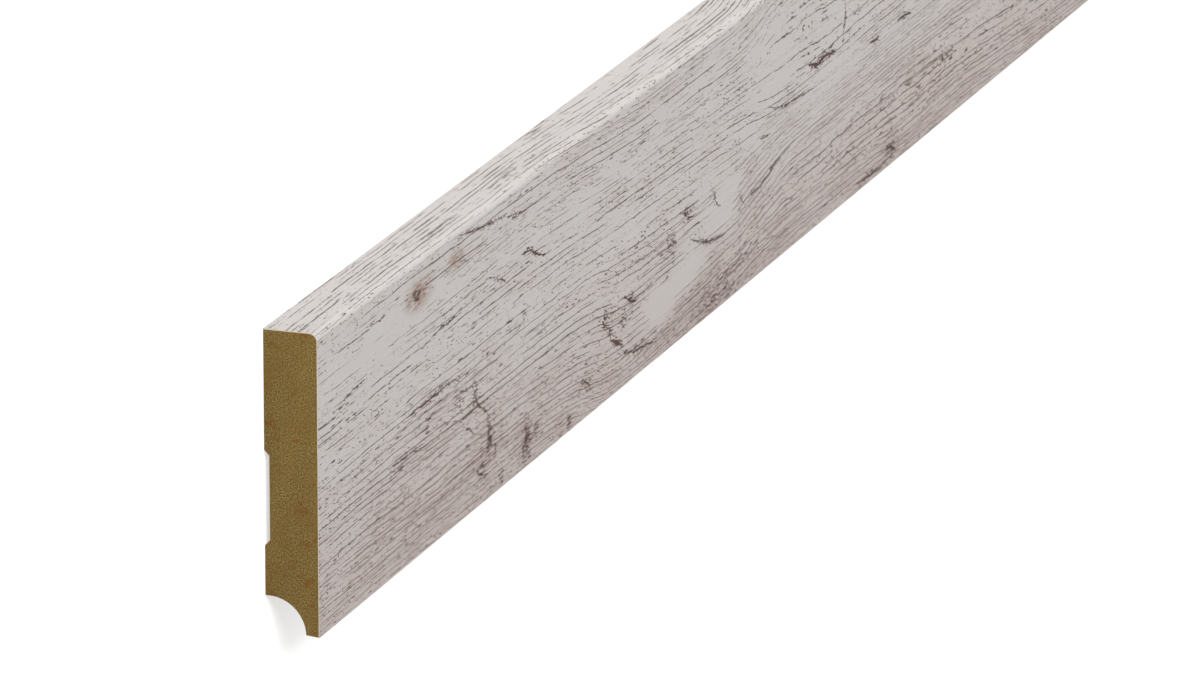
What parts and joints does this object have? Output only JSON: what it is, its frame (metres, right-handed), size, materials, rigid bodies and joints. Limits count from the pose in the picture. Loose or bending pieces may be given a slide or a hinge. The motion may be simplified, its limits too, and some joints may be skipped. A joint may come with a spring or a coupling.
{
  "type": "skirting board length",
  "caption": "Straight length of skirting board: moulded fibreboard with a clip recess and a cable duct in its back, wrapped in a printed whitewashed-wood foil.",
  "frame": {"origin": "in the back plane, at mid length and mid height of the board, which lies on its back", "axes": "+X along the board's length, +Y up the wall from the floor edge to the top face, +Z out of the wall towards the decor face"},
  "size_m": [2.4, 0.077, 0.014],
  "materials": {
    "fibreboard": "bare medium-density fibreboard, moulded along its length and sawn at its ends",
    "wood_decor": "matt printed foil, whitewashed wood with dark grain lines, cracks and knots"
  },
  "bodies": {
    "root": {"fibreboard_core": "fibreboard", "decor_foil": "wood_decor"}
  },
  "joints": []
}
